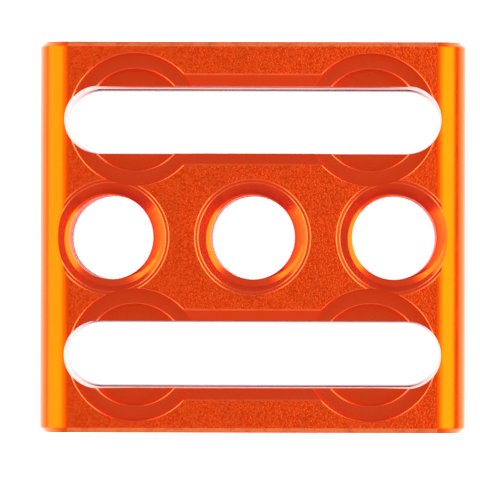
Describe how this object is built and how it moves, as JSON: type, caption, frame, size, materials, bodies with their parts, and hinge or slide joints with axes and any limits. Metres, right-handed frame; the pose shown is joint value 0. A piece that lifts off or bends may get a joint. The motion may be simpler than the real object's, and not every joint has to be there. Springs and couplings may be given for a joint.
{
  "type": "tripod riser block",
  "caption": "Rectangular anodised aluminium riser block with a row of tapped through holes between counterbored screw slots, to raise a camera plate on a tripod.",
  "frame": {"origin": "middle of the plain back face, which the block lies on", "axes": "+X along the slots and the row of tapped holes, +Y across the slots, +Z out of the worked face"},
  "size_m": [0.041, 0.0376, 0.02],
  "materials": {
    "anodised_aluminium": "orange anodised, bead blasted faces, smooth machined holes and slots"
  },
  "bodies": {
    "root": {"riser_block": "anodised_aluminium"}
  },
  "joints": []
}
